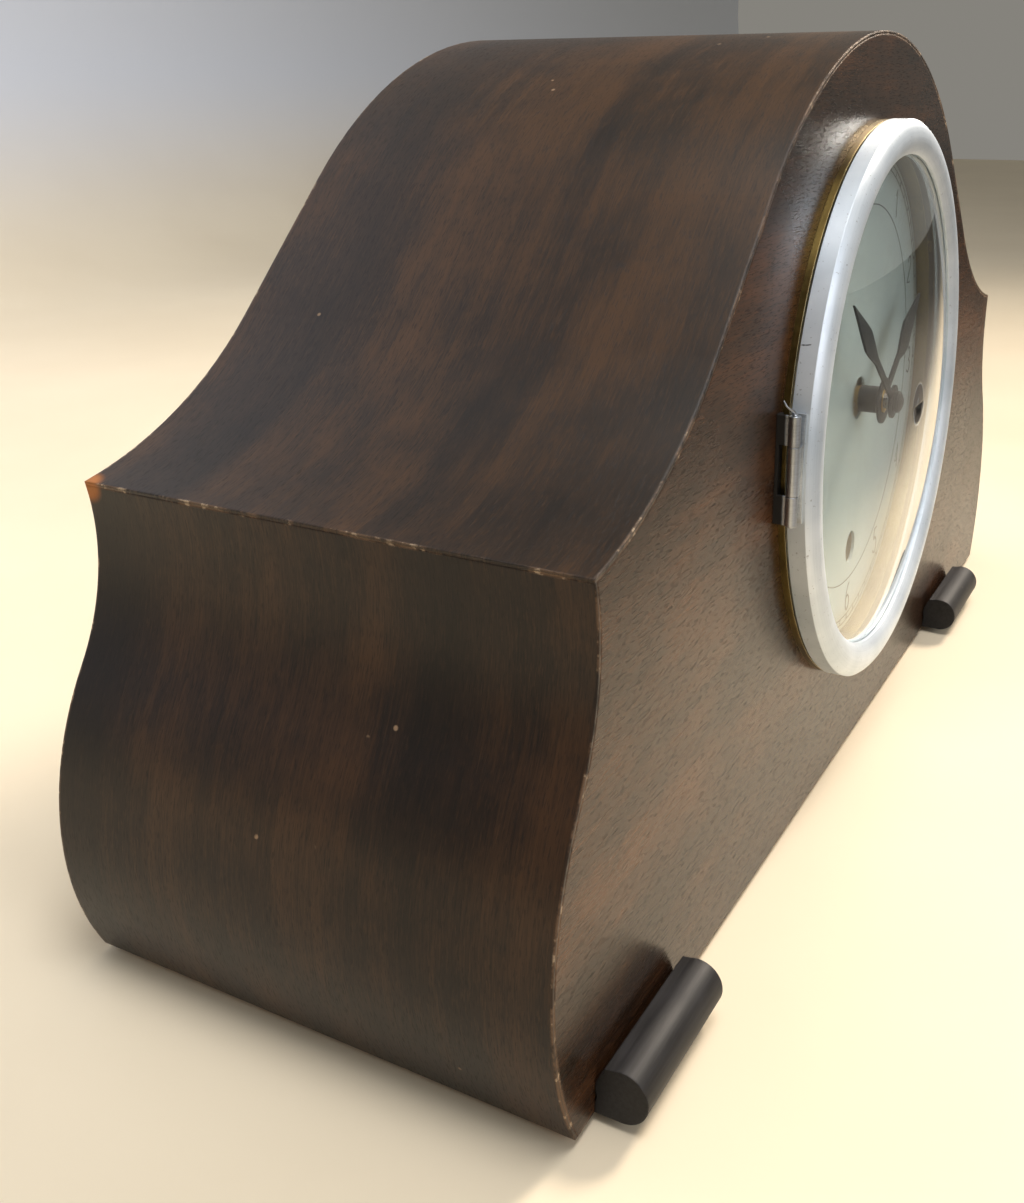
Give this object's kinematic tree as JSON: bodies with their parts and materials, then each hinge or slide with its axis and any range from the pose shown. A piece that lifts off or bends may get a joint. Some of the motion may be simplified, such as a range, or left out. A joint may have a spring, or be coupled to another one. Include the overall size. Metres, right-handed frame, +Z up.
{
  "type": "mantel clock",
  "caption": "Tambour mantel clock: veneered hat-shaped case on two front bars, hinged round bezel with domed glass, leaf hands and a wind-up pendulum movement.",
  "frame": {"origin": "centre of the footprint box, on the surface that the clock stands on", "axes": "+Z up, the dial faces -Y, +X to the right seen from the front"},
  "size_m": [0.3744, 0.1432, 0.204],
  "materials": {
    "top_veneer": "dark walnut veneer, satin lacquer, mottled figure",
    "end_veneer": "dark walnut veneer, upright grain, satin lacquer",
    "front_veneer": "walnut veneer, satin lacquer",
    "carcass_wood": "bare plywood and softwood",
    "back_wood": "stained plywood",
    "ebonised_wood": "black satin stain",
    "pad_felt": "black felt",
    "silver_metal": "satin silvered brass",
    "brass": "lacquered brass, aged",
    "plate_brass": "brushed brass",
    "steel": "polished steel",
    "blued_steel": "black lacquered steel",
    "dial": "silvered cream dial",
    "glass": "clear domed glass"
  },
  "bodies": {
    "case": {"front_panel": "carcass_wood", "back_panel": "back_wood", "top_panel": "carcass_wood", "end_block_left": "carcass_wood", "end_block_right": "carcass_wood", "base_board": "carcass_wood", "glue_blocks": "carcass_wood", "front_veneer": "front_veneer", "top_veneer": "top_veneer", "end_veneer_left": "end_veneer", "end_veneer_right": "end_veneer", "foot_bar_left": "ebonised_wood", "foot_bar_right": "ebonised_wood", "foot_pads": "pad_felt", "door_hinge_fixed": "brass", "door_hinge_pin": "steel", "case_screws": "brass", "bezel_base_ring": "brass", "bezel_hinge_fixed": "silver_metal", "bezel_hinge_pin": "steel", "dial_plate": "dial", "front_plate": "plate_brass", "back_plate": "plate_brass", "plate_pillars": "brass", "plate_screws": "steel", "mount_straps": "steel", "click_spring": "brass", "pendulum_cock": "brass"},
    "door": {"back_door": "back_wood", "door_hinge_moving": "brass"},
    "button": {"turn_button": "brass"},
    "bezel": {"bezel_ring": "silver_metal", "bezel_glass": "glass", "glass_retainer": "silver_metal", "bezel_hinge_moving": "silver_metal"},
    "centre": {"centre_arbor": "steel", "centre_wheel": "plate_brass", "cannon_pinion": "steel", "minute_hand": "blued_steel", "hand_nut": "brass"},
    "hour": {"hour_wheel": "plate_brass", "hour_hand": "blued_steel"},
    "motion": {"minute_wheel": "plate_brass"},
    "intermediate": {"intermediate_arbor": "steel", "intermediate_wheel": "plate_brass"},
    "barrel": {"barrel_drum": "brass", "great_wheel": "plate_brass", "barrel_cap": "brass", "mainspring": "steel"},
    "third": {"third_arbor": "steel", "third_wheel": "plate_brass"},
    "escape": {"escape_arbor": "steel", "escape_wheel": "plate_brass"},
    "winding": {"winding_arbor": "steel", "ratchet_wheel": "steel"},
    "click": {"click": "steel"},
    "anchor": {"pallets": "steel"},
    "pendulum": {"pendulum_rod": "steel"},
    "bob": {"bob": "brass"},
    "nut": {"rating_nut": "brass"}
  },
  "joints": [
    {"name": "bezel_hinge", "type": "hinge", "parent": "case", "child": "bezel", "pos_m": [-0.0784, -0.0616, 0.1055], "axis": [0, 0, -1], "range_deg": [0, 110]},
    {"name": "back_door_hinge", "type": "hinge", "parent": "case", "child": "door", "pos_m": [-0.0775, 0.0671, 0.1055], "axis": [0, 0, 1], "range_deg": [0, 120]},
    {"name": "turn_button_pivot", "type": "hinge", "parent": "case", "child": "button", "pos_m": [0.083, 0.0656, 0.1055], "axis": [0, -1, 0], "range_deg": [0, 90]},
    {"name": "centre_spin", "type": "hinge", "parent": "case", "child": "centre", "pos_m": [0, -0.0324, 0.1055], "axis": [0, 1, 0], "continuous": true},
    {"name": "hour_spin", "type": "hinge", "parent": "case", "child": "hour", "pos_m": [0, -0.0324, 0.1055], "axis": [0, 1, 0], "continuous": true},
    {"name": "motion_spin", "type": "hinge", "parent": "case", "child": "motion", "pos_m": [0.012, -0.0324, 0.1055], "axis": [0, 1, 0], "continuous": true},
    {"name": "intermediate_spin", "type": "hinge", "parent": "case", "child": "intermediate", "pos_m": [0.01396, -0.0324, 0.09118], "axis": [0, 1, 0], "continuous": true},
    {"name": "barrel_spin", "type": "hinge", "parent": "case", "child": "barrel", "pos_m": [0, -0.0324, 0.0615], "axis": [0, 1, 0], "continuous": true},
    {"name": "third_spin", "type": "hinge", "parent": "case", "child": "third", "pos_m": [-0.01324, -0.0324, 0.11874], "axis": [0, 1, 0], "continuous": true},
    {"name": "escape_spin", "type": "hinge", "parent": "case", "child": "escape", "pos_m": [0, -0.0324, 0.12882], "axis": [0, 1, 0], "continuous": true},
    {"name": "winding_spin", "type": "hinge", "parent": "case", "child": "winding", "pos_m": [0, -0.0324, 0.0615], "axis": [0, 1, 0], "continuous": true},
    {"name": "click_lift", "type": "hinge", "parent": "case", "child": "click", "pos_m": [-0.012, -0.0105, 0.0733], "axis": [0, -1, 0], "range_deg": [0, 14], "stiffness_Nm_per_rad": 0.002, "springref_deg": -8.59},
    {"name": "pendulum_swing", "type": "hinge", "parent": "case", "child": "pendulum", "pos_m": [0, -0.0004, 0.14085], "axis": [0, 1, 0], "range_deg": [-4, 4]},
    {"name": "anchor_rock", "type": "hinge", "parent": "case", "child": "anchor", "pos_m": [0, -0.0274, 0.14085], "axis": [0, 1, 0], "range_deg": [-4.2, 4.2]},
    {"name": "bob_slide", "type": "slide", "parent": "pendulum", "child": "bob", "axis": [0, 0, 1], "range_m": [-0.002, 0.002]},
    {"name": "rating_nut_turn", "type": "hinge", "parent": "bob", "child": "nut", "pos_m": [0, -0.0004, 0.02775], "axis": [0, 0, 1], "range_deg": [-1080, 1080]}
  ],
  "couplings": [
    {"joint": "hour_spin", "follows": "centre_spin", "ratio": 0.083333},
    {"joint": "motion_spin", "follows": "centre_spin", "ratio": -0.33333},
    {"joint": "intermediate_spin", "follows": "centre_spin", "ratio": -0.11111},
    {"joint": "barrel_spin", "follows": "centre_spin", "ratio": 0.015432},
    {"joint": "third_spin", "follows": "centre_spin", "ratio": -12},
    {"joint": "escape_spin", "follows": "centre_spin", "ratio": 144},
    {"joint": "anchor_rock", "follows": "pendulum_swing", "ratio": 1},
    {"joint": "rating_nut_turn", "follows": "bob_slide", "rad_per_m": 8976}
  ]
}
